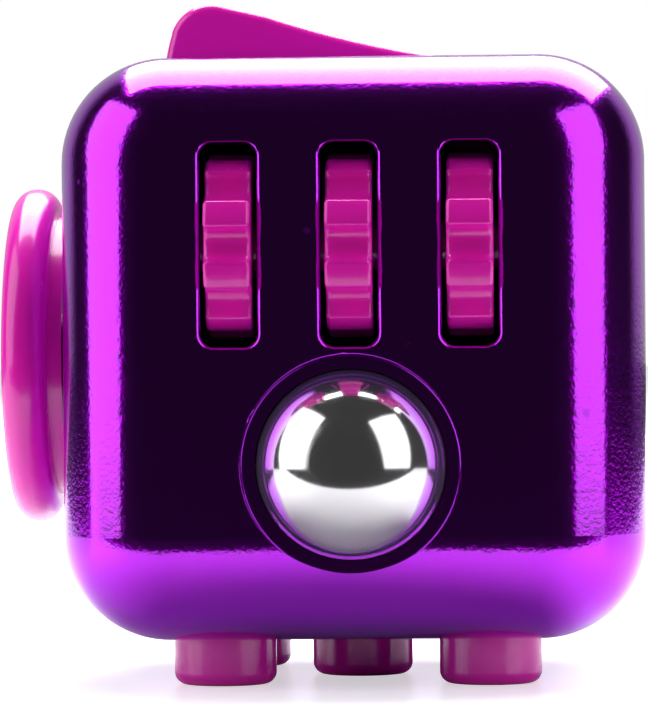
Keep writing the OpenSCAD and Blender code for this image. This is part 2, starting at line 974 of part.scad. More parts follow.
module button(number) {
    place = button_places[number];
    radius = button_diameter / 2;
    stem_top = plate_z - dome_height - button_travel - 0.02;
    color(moving_colour)
    at_body()
        translate([place[0] * button_pitch, place[1] * button_pitch, 0])
            rotate_extrude() {
                translate([0, -half - button_proud])
                    square([radius - button_edge, button_proud + wall]);
                translate([0, -half - button_proud + button_edge])
                    square([radius, button_proud + wall]);
                translate([radius - button_edge, -half - button_proud + button_edge])
                    circle(button_edge);
                translate([0, flange_bottom])
                    square([radius + flange_extra, button_flange]);
                translate([0, flange_bottom])
                    square([stem_radius, stem_top - flange_bottom]);
            }
}

module front_left_button() {
    button(0);
}

module front_right_button() {
    button(1);
}

module centre_button() {
    button(2);
}

module rear_left_button() {
    button(3);
}

module rear_right_button() {
    button(4);
}

module button_spring(number) {
    place = button_places[number];
    color(steel_colour)
    at_body()
        translate([place[0] * button_pitch, place[1] * button_pitch, spring_seat])
            coil_spring(1.9, 0.22, plate_z - spring_seat, 2);
}

module front_left_button_spring() {
    button_spring(0);
}

module front_right_button_spring() {
    button_spring(1);
}

module centre_button_spring() {
    button_spring(2);
}

module rear_left_button_spring() {
    button_spring(3);
}

module rear_right_button_spring() {
    button_spring(4);
}

// the plate that closes the buttons off inside, with a notch for the ball's cage
module button_plate() {
    color(inner_colour)
    at_body()
        difference() {
            translate([0, 0, plate_z])
                linear_extrude(plate_thickness)
                    rounded_rectangle(2 * plate_edge, 2 * plate_edge, 2);
            box([-plate_notch, -far, -far], [plate_notch, plate_notch_y, far]);
            for (place = plate_posts)
                translate([place[0], place[1], plate_z - overlap])
                    cylinder(d = screw_thread + 0.2, h = 3);
        }
}

module button_plate_screws() {
    color(steel_colour)
    at_body()
        for (place = plate_posts)
            translate([place[0], place[1], plate_z + plate_thickness])
                rotate([180, 0, 0])
                    screw(screw_thread, screw_head, plate_thickness + 2.2);
}

module click_domes() {
    dome_sphere = (pow(dome_radius, 2) + pow(dome_height, 2)) / (2 * dome_height);
    color(steel_colour)
    at_body()
        for (number = clicking_places)
            translate([button_places[number][0] * button_pitch, button_places[number][1] * button_pitch, plate_z])
                intersection() {
                    translate([0, 0, dome_sphere - dome_height])
                        sphere(dome_sphere);
                    translate([0, 0, -dome_height - overlap])
                        cylinder(r = 2 * dome_radius, h = dome_height + overlap);
                }
}

front_shell();
rear_shell();
wheel_axle();
left_wheel();
middle_wheel();
right_wheel();
roll_carrier();
roll_carrier_screws();
ball();
ball_cup();
ball_spring();
rocker();
rocker_pin();
rocker_bracket();
rocker_detent_spring();
rocker_bracket_screws();
dial();
dial_washer();
dial_screw();
joystick_cap();
joystick_stem();
joystick_slider();
joystick_housing();
joystick_centring_ring();
joystick_housing_screws();
front_left_button();
front_right_button();
centre_button();
rear_left_button();
rear_right_button();
front_left_button_spring();
front_right_button_spring();
centre_button_spring();
rear_left_button_spring();
rear_right_button_spring();
button_plate();
button_plate_screws();
click_domes();
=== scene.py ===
"""Looks of the fidget cube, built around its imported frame.

The shells, frames, springs and screws are the frame's own solids with better finishes. The ball,
wheels, rocker, dial, joystick cap and buttons are new surfaces with rounded edges, computed as
whole arrays.
"""

import logging
import math
from dataclasses import dataclass, field
from enum import Enum
from functools import cache

import bpy
import numpy as np
from mathutils import Matrix, Vector


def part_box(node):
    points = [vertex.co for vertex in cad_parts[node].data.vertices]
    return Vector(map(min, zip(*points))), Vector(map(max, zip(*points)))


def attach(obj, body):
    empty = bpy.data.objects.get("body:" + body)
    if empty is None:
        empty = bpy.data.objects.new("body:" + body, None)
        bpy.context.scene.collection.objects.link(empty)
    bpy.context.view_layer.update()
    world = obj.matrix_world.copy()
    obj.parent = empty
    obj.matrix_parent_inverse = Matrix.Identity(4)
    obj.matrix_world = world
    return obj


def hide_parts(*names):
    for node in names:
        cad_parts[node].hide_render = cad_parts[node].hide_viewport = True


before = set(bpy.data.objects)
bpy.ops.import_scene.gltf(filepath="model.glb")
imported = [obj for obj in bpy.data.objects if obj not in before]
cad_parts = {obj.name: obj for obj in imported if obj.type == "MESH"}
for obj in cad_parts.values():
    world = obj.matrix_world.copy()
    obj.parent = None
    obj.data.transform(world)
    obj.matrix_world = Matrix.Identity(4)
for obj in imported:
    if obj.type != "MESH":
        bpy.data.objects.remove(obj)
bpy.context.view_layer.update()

MM = 0.001
WELD = 1e-7
TAU = 2 * math.pi
X, Y, Z = np.eye(3)
EDGE_ROWS = 7
LOG = logging.getLogger("fidget_cube")

Array = np.ndarray
Pair = tuple[float, float]
Triple = tuple[float, float, float]


# --- surfaces ------------------------------------------------------------------------


@dataclass
class Surface:
    """Points with their exact normals, and the triangles between them."""

    points: Array
    normals: Array
    triangles: Array

    @staticmethod
    def from_grid(points: Array, normals: Array, closed: bool = False) -> "Surface":
        """Makes triangles over a grid of points.

        The quad between rows i, i+1 and columns j, j+1 becomes two triangles.

        Args:
            points: The grid, rows by columns by 3.
            normals: The normals, of the same shape.
            closed: Whether the last column joins the first.

        Returns:
            The grid as a surface.
        """
        rows, columns = points.shape[:2]
        index = np.arange(rows * columns).reshape(rows, columns)
        if closed:
            index = np.concatenate([index, index[:, :1]], axis=1)
        a, b, c, d = index[:-1, :-1], index[:-1, 1:], index[1:, 1:], index[1:, :-1]
        triangles = np.concatenate(
            [np.stack([a, b, c], -1).reshape(-1, 3), np.stack([a, c, d], -1).reshape(-1, 3)]
        )
        return Surface(points.reshape(-1, 3), normals.reshape(-1, 3), triangles)


def join(surfaces: list[Surface]) -> Surface:
    """Puts several surfaces into one, with their triangles renumbered.

    Args:
        surfaces: The surfaces to join.

    Returns:
        One surface that holds them all.
    """
    starts = np.cumsum([0] + [len(s.points) for s in surfaces[:-1]])
    return Surface(
        np.concatenate([s.points for s in surfaces]),
        np.concatenate([s.normals for s in surfaces]),
        np.concatenate([s.triangles + start for s, start in zip(surfaces, starts)]),
    )


@dataclass
class Outline:
    """A line of points in a plane, each with its outward normal.

    A sharp corner has two points in one place.
    """

    points: list[Array] = field(default_factory=list)
    normals: list[Array] = field(default_factory=list)

    def line(self, start: Pair, end: Pair, steps: int = 1) -> "Outline":
        """Adds a straight line, whose normal is its direction turned a quarter turn to the right.

        Args:
            start: Its first point.
            end: Its last point.
            steps: How many equal pieces it is cut into.

        Returns:
            This outline.
        """
        a, b = np.array(start, float), np.array(end, float)
        along = (b - a) / np.linalg.norm(b - a)
        share = np.linspace(0, 1, steps + 1)[:, None]
        self.points.append(a + share * (b - a))
        self.normals.append(np.tile([along[1], -along[0]], (steps + 1, 1)))
        return self

    def path(self, *corners: Pair) -> "Outline":
        """Adds the straight lines from each corner to the next.

        Args:
            *corners: The corners in order.

        Returns:
            This outline.
        """
        for start, end in zip(corners, corners[1:]):
            self.line(start, end)
        return self

    def arc(
        self,
        centre: Pair,
        radius: float,
        start: float,
        end: float,
        steps: int,
        hollow: bool = False,
    ) -> "Outline":
        """Adds an arc: centre + radius (cos a, sin a), with a from start to end in degrees.

        Args:
            centre: The arc's centre.
            radius: Its radius.
            start: The first angle.
            end: The last angle.
            steps: How many equal pieces it is cut into.
            hollow: Whether the normals point to the centre.

        Returns:
            This outline.
        """
        angle = np.radians(np.linspace(start, end, steps + 1))
        away = np.stack([np.cos(angle), np.sin(angle)], -1)
        self.points.append(np.array(centre, float) + radius * away)
        self.normals.append(-away if hollow else away)
        return self

    def end_on_axis(self) -> "Outline":
        """Puts the last point exactly on the axis, and returns this outline."""
        self.points[-1][-1, 0] = 0.0
        return self

    def arrays(self) -> tuple[Array, Array]:
        """Returns all points and all normals, in order."""
        return np.concatenate(self.points), np.concatenate(self.normals)


def polar(radius: float, angle: float) -> Pair:
    """Returns the point at a radius and an angle in degrees."""
    return radius * math.cos(math.radians(angle)), radius * math.sin(math.radians(angle))


@dataclass
class Axes:
    """A place with three directions: out along an axis, and two across it."""

    origin: Array
    out: Array
    side: Array

    @property
    def up(self) -> Array:
        """The third direction."""
        return np.cross(self.out, self.side)

    def revolve(self, outline: Outline, steps: int) -> Surface:
        """Turns an outline of (radius, height) about the axis.

        A point is origin + height out + radius (cos t side + sin t up), with t over a full turn.

        Args:
            outline: The profile, as radius and height.
            steps: The number of columns round the axis.

        Returns:
            The closed surface of revolution.
        """
        (radius, height), (n_radius, n_height) = (a.T for a in outline.arrays())
        turn = np.linspace(0, TAU, steps, endpoint=False)
        spoke = np.cos(turn)[:, None] * self.side + np.sin(turn)[:, None] * self.up
        points = self.origin + height[:, None, None] * self.out + radius[:, None, None] * spoke
        normals = n_height[:, None, None] * self.out + n_radius[:, None, None] * spoke
        return Surface.from_grid(points, normals, closed=True)

    def in_plane(self, flat: Array) -> Array:
        """Carries (side, up) pairs into space, with no origin added."""
        return flat[..., :1] * self.side + flat[..., 1:] * self.up

    def slab(self, outline: Outline, width: float, edge: float, hub: float = 0.0) -> Surface:
        """Gives a flat outline a width along the axis, with its two edges rounded.

        At angle a of an edge's quarter round the outline has moved in by edge (1 - cos a), and
        stands at width / 2 - edge + edge sin a along the axis. The two flat faces run in to a
        circle of radius hub.

        Args:
            outline: The closed outline, as (side, up).
            width: The slab's width along the axis.
            edge: The radius of its rounded edges.
            hub: The radius at which the flat faces end, or 0 for their middle.

        Returns:
            The closed slab, open inside the hub's circle.
        """
        flat, flat_normals = outline.arrays()
        quarter = np.radians(np.linspace(0, 90, EDGE_ROWS))
        inset = edge * (1 - np.cos(quarter))
        height = width / 2 - edge + edge * np.sin(quarter)
        inset = np.concatenate([inset[::-1], inset])
        height = np.concatenate([-height[::-1], height])
        lean = np.concatenate([-quarter[::-1], quarter])
        rows = flat[None] - inset[:, None, None] * flat_normals[None]
        points = self.origin + self.in_plane(rows) + height[:, None, None] * self.out
        normals = np.cos(lean)[:, None, None] * self.in_plane(flat_normals)[None]
        normals = normals + np.sin(lean)[:, None, None] * self.out
        made = [Surface.from_grid(points, normals, closed=True)]
        direction = flat / np.linalg.norm(flat, axis=1, keepdims=True)
        for end, sign in ((0, -1), (-1, 1)):
            ring = self.origin + self.in_plane(direction * hub) + height[end] * self.out
            face = np.stack([points[end], ring])
            face_normals = np.broadcast_to(sign * self.out, face.shape)
            made.append(Surface.from_grid(face, face_normals, closed=True))
        return join(made)


def place_object(name: str, data: bpy.types.ID) -> bpy.types.Object:
    """Makes an object from its data and links it to the scene.

    Args:
        name: The object's name.
        data: Its mesh or camera.

    Returns:
        The object, at the origin.
    """
    made = bpy.data.objects.new(name, data)
    bpy.context.scene.collection.objects.link(made)
    return made


def build_piece(name: str, surface: Surface) -> bpy.types.Object:
    """Makes a mesh object from a surface, with its seams closed and its exact normals kept.

    Points that lie in one place become one vertex, triangles that have lost their area go, and
    each triangle is turned so that it faces the way its normals do.

    Args:
        name: The piece's name.
        surface: Its surface, in metres.

    Returns:
        The object, at the origin.
    """
    keys = np.round(surface.points / WELD).astype(np.int64)
    _, first, place = np.unique(keys, axis=0, return_index=True, return_inverse=True)
    place = place.reshape(-1)
    points = surface.points[first]
    loose = surface.triangles
    triangles = place[loose]
    whole = (
        (triangles[:, 0] != triangles[:, 1])
        & (triangles[:, 1] != triangles[:, 2])
        & (triangles[:, 2] != triangles[:, 0])
    )
    triangles, loose = triangles[whole], loose[whole]
    corner = points[triangles]
    facing = np.cross(corner[:, 1] - corner[:, 0], corner[:, 2] - corner[:, 0])
    wrong = (facing * surface.normals[loose].sum(axis=1)).sum(axis=1) < 0
    triangles[wrong] = triangles[wrong][:, ::-1]
    loose[wrong] = loose[wrong][:, ::-1]

    mesh = bpy.data.meshes.new(name)
    mesh.vertices.add(len(points))
    mesh.vertices.foreach_set("co", points.astype(np.float32).ravel())
    mesh.loops.add(triangles.size)
    mesh.loops.foreach_set("vertex_index", triangles.astype(np.int32).ravel())
    mesh.polygons.add(len(triangles))
    mesh.polygons.foreach_set("loop_start", np.arange(0, triangles.size, 3, dtype=np.int32))
    mesh.update(calc_edges=True)
    mesh.validate()
    mesh.polygons.foreach_set("use_smooth", np.ones(len(mesh.polygons), dtype=bool))
    mesh.normals_split_custom_set(surface.normals[loose.ravel()].tolist())
    return place_object(name, mesh)


# --- finishes ------------------------------------------------------------------------

SWELL_DETAIL = 2.0
GRAIN_DETAIL = 1.0
SCUFF_DETAIL = 4.0
SCUFF_TURN = (0.6, 0.3, 0.9)
SCUFF_STRETCH = (1.0, 9.0, 1.4)
SCUFF_START, SCUFF_FULL = 0.58, 0.76
SPECK_RIM, SPECK_CORE = 0.13, 0.05
PATCH_SCALE = 0.4
PATCH_LIMIT = 0.62
SPECK_ROUGHNESS = 0.3
SUBSURFACE_RADIUS = (1.0, 0.25, 0.5)
SUBSURFACE_SCALE = 0.8 * MM


class Builder:
    """Adds and joins shader nodes in one tree."""

    def __init__(self, tree: bpy.types.NodeTree) -> None:
        """Keeps the tree."""
        self.tree = tree

    def node(
        self, kind: str, inputs: dict[str | int, object] | None = None, **settings: object
    ) -> bpy.types.Node:
        """Adds a node.

        Args:
            kind: Its type.
            inputs: What its inputs take, by name or number.
            **settings: Attributes of the node, set before its inputs.

        Returns:
            The new node.
        """
        made = self.tree.nodes.new(kind)
        for name, value in settings.items():
            setattr(made, name, value)
        self.feed(made, inputs or {})
        return made

    def feed(self, node: bpy.types.Node, inputs: dict[str | int, object]) -> None:
        """Links an output to each input of a node, or sets the input's value.

        Args:
            node: The node.
            inputs: What its inputs take, by name or number: another node's output, or a value.
        """
        for label, value in inputs.items():
            if isinstance(value, bpy.types.NodeSocket):
                self.tree.links.new(value, node.inputs[label])
            else:
                node.inputs[label].default_value = value

    def math(self, operation: str, first: object, second: object = 0.0) -> bpy.types.NodeSocket:
        """Adds a math node.

        Args:
            operation: Its operation.
            first: A socket or a number.
            second: A socket or a number.

        Returns:
            Its output.
        """
        made = self.node("ShaderNodeMath", {0: first, 1: second}, operation=operation)
        return made.outputs[0]


def new_group(
    name: str, numbers: dict[str, float], outputs: tuple[str, ...]
) -> tuple[Builder, bpy.types.Node, bpy.types.Node]:
    """Makes a shader node group with one vector input, number inputs and number outputs.

    Args:
        name: The group's name.
        numbers: Each number input's default value.
        outputs: The outputs' names.

    Returns:
        A builder for the group's tree, its input node and its output node.
    """
    tree = bpy.data.node_groups.new(name, "ShaderNodeTree")
    tree.interface.new_socket("Vector", in_out="INPUT", socket_type="NodeSocketVector")
    for label, value in numbers.items():
        socket = tree.interface.new_socket(label, in_out="INPUT", socket_type="NodeSocketFloat")
        socket.default_value = value
    for label in outputs:
        tree.interface.new_socket(label, in_out="OUTPUT", socket_type="NodeSocketFloat")
    b = Builder(tree)
    return b, b.node("NodeGroupInput"), b.node("NodeGroupOutput")


def grain_group() -> bpy.types.NodeTree:
    """Makes the height of a moulded or plated skin: a soft swell plus a fine grain."""
    b, entry, leave = new_group(
        "skin_grain",
        {"Swell Scale": 700.0, "Grain Scale": 5000.0, "Grain Share": 0.3},
        ("Height", "Mask"),
    )
    given = entry.outputs
    swell, grain = [
        b.node(
            "ShaderNodeTexNoise",
            {"Vector": given["Vector"], "Scale": given[scale], "Detail": detail},
        ).outputs["Fac"]
        for scale, detail in (("Swell Scale", SWELL_DETAIL), ("Grain Scale", GRAIN_DETAIL))
    ]
    fine = b.math("MULTIPLY", grain, given["Grain Share"])
    b.feed(leave, {"Height": b.math("ADD", swell, fine), "Mask": grain})
    return b.tree


def wear_group() -> bpy.types.NodeTree:
    """Makes two masks: scuffs, a stretched noise above a limit, and sparse round specks."""
    b, entry, leave = new_group(
        "handling_wear", {"Scuff Scale": 260.0, "Speck Scale": 900.0}, ("Scuffs", "Specks")
    )
    place, speck_scale = entry.outputs["Vector"], entry.outputs["Speck Scale"]
    stretch = b.node(
        "ShaderNodeMapping", {"Vector": place, "Rotation": SCUFF_TURN, "Scale": SCUFF_STRETCH}
    )
    hair = b.node(
        "ShaderNodeTexNoise",
        {
            "Vector": stretch.outputs["Vector"],
            "Scale": entry.outputs["Scuff Scale"],
            "Detail": SCUFF_DETAIL,
        },
    )
    scuffs = b.node(
        "ShaderNodeMapRange",
        {"Value": hair.outputs["Fac"], "From Min": SCUFF_START, "From Max": SCUFF_FULL},
        interpolation_type="SMOOTHSTEP",
    )
    cells = b.node("ShaderNodeTexVoronoi", {"Vector": place, "Scale": speck_scale})
    speck = b.node(
        "ShaderNodeMapRange",
        {"Value": cells.outputs["Distance"], "From Min": SPECK_RIM, "From Max": SPECK_CORE},
    )
    patch_scale = b.math("MULTIPLY", speck_scale, PATCH_SCALE)
    patch = b.node("ShaderNodeTexNoise", {"Vector": place, "Scale": patch_scale})
    few = b.math("GREATER_THAN", patch.outputs["Fac"], PATCH_LIMIT)
    specks = b.math("MULTIPLY", speck.outputs["Result"], few)
    b.feed(leave, {"Scuffs": scuffs.outputs["Result"], "Specks": specks})
    return b.tree


class Finishes:
    """The shader node groups that several finishes share, each built once."""

    grain = grain_group()
    wear = wear_group()


@dataclass(frozen=True)
class Finish:
    """A surface finish: two tones, a range of roughness, its metal and coat, and the skin's relief.

    Scales are in features per metre, and the relief is in metres.
    """

    name: str
    tone: Triple
    second_tone: Triple
    roughness: Pair
    metallic: float = 0.0
    coat: float = 0.0
    coat_roughness: float = 0.05
    subsurface: float = 0.0
    relief: float = 2e-6
    swell_scale: float = 700.0
    grain_scale: float = 5000.0
    grain_share: float = 0.3
    scuff_roughness: float = 0.12
    speck_scale: float = 900.0
    tone_scale: float = 90.0

    @cache
    def material(self) -> bpy.types.Material:
        """Builds the material, once for each finish.

        The base colour is a slow noise between the two tones. The roughness follows the grain and
        rises at scuffs and specks. The bump is the grain group's height.

        Returns:
            The material.
        """
        made = bpy.data.materials.new(self.name)
        made.use_nodes = True
        b = Builder(made.node_tree)
        place = b.node("ShaderNodeTexCoord").outputs["Object"]
        grain = b.node(
            "ShaderNodeGroup",
            {
                "Vector": place,
                "Swell Scale": self.swell_scale,
                "Grain Scale": self.grain_scale,
                "Grain Share": self.grain_share,
            },
            node_tree=Finishes.grain,
        )
        wear = b.node(
            "ShaderNodeGroup",
            {"Vector": place, "Speck Scale": self.speck_scale},
            node_tree=Finishes.wear,
        )
        tone = b.node("ShaderNodeTexNoise", {"Vector": place, "Scale": self.tone_scale})
        mix = b.node(
            "ShaderNodeMix",
            {"Factor": tone.outputs["Fac"], "A": (*self.tone, 1.0), "B": (*self.second_tone, 1.0)},
            data_type="RGBA",
        )
        low, high = self.roughness
        rough = b.math("ADD", b.math("MULTIPLY", grain.outputs["Mask"], high - low), low)
        scuffed = b.math("MULTIPLY", wear.outputs["Scuffs"], self.scuff_roughness)
        dusty = b.math("MULTIPLY", wear.outputs["Specks"], SPECK_ROUGHNESS)
        bump = b.node(
            "ShaderNodeBump", {"Height": grain.outputs["Height"], "Distance": self.relief}
        )
        b.feed(
            made.node_tree.nodes["Principled BSDF"],
            {
                "Base Color": mix.outputs["Result"],
                "Roughness": b.math("ADD", b.math("ADD", rough, scuffed), dusty),
                "Normal": bump.outputs["Normal"],
                "Metallic": self.metallic,
                "Coat Weight": self.coat,
                "Coat Roughness": self.coat_roughness,
                "Subsurface Weight": self.subsurface,
                "Subsurface Radius": SUBSURFACE_RADIUS,
                "Subsurface Scale": SUBSURFACE_SCALE,
            },
        )
        return made


PLATED_VIOLET = Finish(
    "plated_violet",
    tone=(0.43, 0.003, 0.74),
    second_tone=(0.48, 0.006, 0.80),
    roughness=(0.10, 0.18),
    metallic=1.0,
    coat=0.7,
    relief=9e-6,
    grain_scale=4200.0,
    grain_share=1.1,
    scuff_roughness=0.03,
    speck_scale=420.0,
)
MAGENTA_PLASTIC = Finish(
    "magenta_plastic",
    tone=(0.90, 0.010, 0.48),
    second_tone=(0.95, 0.016, 0.53),
    roughness=(0.20, 0.26),
    coat=0.4,
    coat_roughness=0.08,
    subsurface=0.1,
    relief=8e-7,
    scuff_roughness=0.05,
    speck_scale=500.0,
)
POLISHED_BALL = Finish(
    "polished_ball",
    tone=(0.72, 0.71, 0.73),
    second_tone=(0.80, 0.80, 0.81),
    roughness=(0.07, 0.14),
    metallic=0.94,
    relief=6e-7,
    swell_scale=500.0,
    scuff_roughness=0.10,
    tone_scale=220.0,
)
DRAWN_STEEL = Finish(
    "drawn_steel",
    tone=(0.55, 0.56, 0.58),
    second_tone=(0.66, 0.67, 0.69),
    roughness=(0.18, 0.30),
    metallic=1.0,
    tone_scale=600.0,
)
DARK_MOULDING = Finish(
    "dark_moulding",
    tone=(0.035, 0.035, 0.040),
    second_tone=(0.055, 0.055, 0.060),
    roughness=(0.42, 0.55),
    relief=6e-6,
    grain_scale=3500.0,
)
SLIDING_WHITE = Finish(
    "sliding_white",
    tone=(0.78, 0.77, 0.72),
    second_tone=(0.84, 0.83, 0.79),
    roughness=(0.38, 0.48),
    subsurface=0.2,
)
SILICONE = Finish(
    "silicone",
    tone=(0.03, 0.03, 0.032),
    second_tone=(0.045, 0.045, 0.047),
    roughness=(0.5, 0.62),
    relief=4e-6,
)


class Slot(Enum):
    """The record's material slots, each with the finish that it takes."""

    SHELL = ("shell", PLATED_VIOLET)
    MOVING = ("moving", MAGENTA_PLASTIC)
    BALL = ("ball", POLISHED_BALL)
    INNER = ("inner", DARK_MOULDING)
    SLIDE = ("slide", SLIDING_WHITE)
    STEEL = ("steel", DRAWN_STEEL)
    RING = ("ring", SILICONE)


def dress(piece: bpy.types.Object, slot: Slot) -> None:
    """Gives a piece its slot's finish.

    Args:
        piece: The mesh object.
        slot: The slot it takes its finish from.
    """
    name, finish = slot.value
    if not piece.data.materials:
        piece.data.materials.append(None)
    for index in range(len(piece.data.materials)):
        piece.data.materials[index] = finish.material()


def stand_for(
    name: str, surface: Surface, node: str, body: str, slot: Slot = Slot.MOVING
) -> None:
    """Builds a piece in a frame node's place: it rides on the body and takes the slot's finish.

    Args:
        name: The new piece's name.
        surface: Its surface.
        node: The node that it stands for.
        body: The body it moves with.
        slot: The slot it takes its finish from.
    """
    piece = build_piece(name, surface)
    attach(piece, body)
    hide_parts(node)
    dress(piece, slot)
    LOG.info("%s stands for %s: %d triangles", name, node, len(piece.data.polygons))


def box_arrays(node: str) -> tuple[Array, Array]:
    """Returns a node's lowest and highest corners as arrays."""
    low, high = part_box(node)
    return np.array(low), np.array(high)


# --- the object's sub-assemblies ------------------------------------------------------


@dataclass
class Shells:
    """The two plated shell halves, which are the frame's own solids."""

    nodes: tuple[str, ...] = ("front_shell", "rear_shell")

    def build(self) -> None:
        """Dresses both halves."""
        for node in self.nodes:
            dress(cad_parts[node], Slot.SHELL)
            LOG.info("%s dressed", node)


@dataclass
class ToothedWheels:
    """Three toothed wheels side by side on one axle."""

    radius: float = 5.15 * MM
    rim_width: float = 2.6 * MM
    teeth: int = 9
    tooth_depth: float = 0.95 * MM
    land_angle: float = 9.0
    corner: float = 0.22 * MM
    edge: float = 0.26 * MM
    hub: float = 1.4 * MM
    bore: float = 0.86 * MM
    corner_steps: int = 5
    gap_steps: int = 14
    land_steps: int = 8

    def outline(self) -> Outline:
        """Makes the wheel's outline with rounded tooth corners.

        Each gap is an arc about a point outside the rim. A small arc of radius corner touches the
        rim circle from inside and the gap's circle from outside, so its centre is radius - corner
        from the wheel's middle and gap + corner from the gap's centre.

        Returns:
            The closed outline, whose first gap is on the side axis.
        """
        gap_angle = math.radians(180 / self.teeth - self.land_angle)
        half_gap = self.radius * math.sin(gap_angle)
        depth = self.tooth_depth - self.radius * (1 - math.cos(gap_angle))
        gap = (half_gap**2 + depth**2) / (2 * depth)
        reach = self.radius - self.tooth_depth + gap
        inner = self.radius - self.corner
        outer = gap + self.corner
        cosine = (reach**2 + inner**2 - outer**2) / (2 * reach * inner)
        swing = math.degrees(math.acos(cosine))
        fillet_s, fillet_u = polar(inner, swing)
        toward = math.degrees(math.atan2(-fillet_u, reach - fillet_s))
        made = Outline()
        step = 360 / self.teeth
        for turn in (tooth * step for tooth in range(self.teeth)):
            before, after = polar(inner, turn - swing), polar(inner, turn + swing)
            gap_start, gap_end = turn + 180 - toward, turn + 180 + toward
            made.arc(before, self.corner, turn - swing, turn - toward, self.corner_steps)
            made.arc(polar(reach, turn), gap, gap_start, gap_end, self.gap_steps, hollow=True)
            made.arc(after, self.corner, turn + toward, turn + swing, self.corner_steps)
            land_start, land_end = turn + swing, turn + step - swing
            made.arc((0.0, 0.0), self.radius, land_start, land_end, self.land_steps)
        return made

    def band(self, axes: Axes, start: Pair, end: Pair, normal: Pair) -> Surface:
        """Turns a line about the axle at the angles of the outline's points, so that seams close.

        Args:
            axes: The wheel's axes.
            start: The line's first radius and height.
            end: Its last radius and height.
            normal: Its normal's parts away from the axle and along it.

        Returns:
            The closed band.
        """
        flat, _ = self.outline().arrays()
        spoke = axes.in_plane(flat / np.linalg.norm(flat, axis=1, keepdims=True))
        radius, height = np.array([start, end]).T[:, :, None, None]
        points = axes.origin + height * axes.out + radius * spoke
        normals = np.broadcast_to(normal[1] * axes.out + normal[0] * spoke, points.shape)
        return Surface.from_grid(points, normals, closed=True)

    def build(self) -> None:
        """Builds the three wheels about the axle's middle line, each in its node's own place."""
        low, high = box_arrays("wheel_axle")
        axle = (low + high) / 2
        for place in ("left", "middle", "right"):
            node = f"{place}_wheel"
            low, high = box_arrays(node)
            half_hub = (high[0] - low[0]) / 2
            axes = Axes(np.array([(low[0] + high[0]) / 2, axle[1], axle[2]]), X, -Y)
            parts = [axes.slab(self.outline(), self.rim_width, self.edge, self.hub)]
            for side in (1, -1):
                inside, outside = side * self.rim_width / 2, side * half_hub
                parts.append(self.band(axes, (self.hub, inside), (self.hub, outside), (1, 0)))
                parts.append(self.band(axes, (self.hub, outside), (self.bore, outside), (0, side)))
            parts.append(self.band(axes, (self.bore, half_hub), (self.bore, -half_hub), (-1, 0)))
            stand_for(f"{node}_rim", join(parts), node, f"{node}_body")


@dataclass
class RollingBall:
    """The steel ball."""

    rows: int = 96
    columns: int = 192

    def build(self) -> None:
        """Builds the ball: a half circle turned about the line through its middle along X."""
        low, high = box_arrays("ball")
        radius = float(high[0] - low[0]) / 2
        half = Outline().arc((0.0, 0.0), radius, -90, 90, self.rows).end_on_axis()
        half.points[0][0, 0] = 0.0
        ball = Axes((low + high) / 2, X, -Y).revolve(half, self.columns)
        stand_for("rolling_ball", ball, "ball", "ball_body", Slot.BALL)


@dataclass
class RockerSwitch:
    """The rocker: a long cap with two round noses and a hollow top, tilted on its pin.

    The noses, crest and skirt are measured from the pin along the cap and up from it.
    """

    reach: float = 11.15 * MM
    width: float = 10.0 * MM
    tilt: float = 13.0
    nose: float = 2.4 * MM
    nose_height: float = 0.65 * MM
    skirt: float = 2.4 * MM
    crest: float = 3.05 * MM
    hollow: float = 60.0 * MM
    middle_height: float = 2.75 * MM
    edge: float = 0.5 * MM
    leg_reach: float = 4.2 * MM
    leg_radius: float = 0.6 * MM
    leg_width: float = 2.4 * MM
    leg_edge: float = 0.1 * MM
    leg_overlap: float = 0.2 * MM
    nose_steps: int = 20
    end_steps: int = 8
    crest_steps: int = 4
    long_steps: int = 24
    foot_steps: int = 16

    def outline(self) -> Outline:
        """Makes the outline in (along, up) from the pivot.

        From the skirt's end an arc about the pivot rises to the nose, which turns over into the
        crest, and a wide hollow arc crosses to the other nose. The nose takes over where the line
        from the pivot through the nose's centre meets them both.

        Returns:
            The closed outline.
        """
        nose = self.reach - self.nose
        low = math.degrees(math.asin(-self.skirt / self.reach))
        meet = math.degrees(math.atan2(self.nose_height, nose))
        hollow_centre = self.middle_height + self.hollow
        edge = math.sqrt(self.hollow**2 - (hollow_centre - self.crest) ** 2)
        sweep = math.degrees(math.asin(edge / self.hollow))
        end = self.reach * math.cos(math.radians(low))
        middle = (0.0, 0.0)
        made = Outline()
        made.line((-end, -self.skirt), (end, -self.skirt), self.long_steps)
        made.arc(middle, self.reach, low, meet, self.end_steps)
        made.arc((nose, self.nose_height), self.nose, meet, 90, self.nose_steps)
        made.line((nose, self.crest), (edge, self.crest), self.crest_steps)
        top = (0.0, hollow_centre)
        made.arc(top, self.hollow, sweep - 90, -90 - sweep, self.long_steps, hollow=True)
        made.line((-edge, self.crest), (-nose, self.crest), self.crest_steps)
        made.arc((-nose, self.nose_height), self.nose, 90, 180 - meet, self.nose_steps)
        made.arc(middle, self.reach, 180 - meet, 180 - low, self.end_steps)
        return made

    def build(self) -> None:
        """Builds the rocker about its pin, with the leg that the leaf spring holds."""
        low, high = box_arrays("rocker_pin")
        pivot = (low + high) / 2
        lean = math.radians(self.tilt)
        along = np.array([math.cos(lean), 0.0, -math.sin(lean)])
        axes = Axes(pivot, -Y, along)
        body = axes.slab(self.outline(), self.width, self.edge)
        foot = self.leg_reach - self.leg_radius
        side, top = self.leg_radius, foot - self.skirt + self.leg_overlap
        outline = Outline().line((-side, top), (-side, 0.0))
        outline.arc((0.0, 0.0), side, 180, 360, self.foot_steps)
        outline.path((side, 0.0), (side, top), (-side, top))
        leg_axes = Axes(pivot - foot * axes.up, -Y, along)
        leg = leg_axes.slab(outline, self.leg_width, self.leg_edge)
        stand_for("rocker_cap", join([body, leg]), "rocker", "rocker_body")


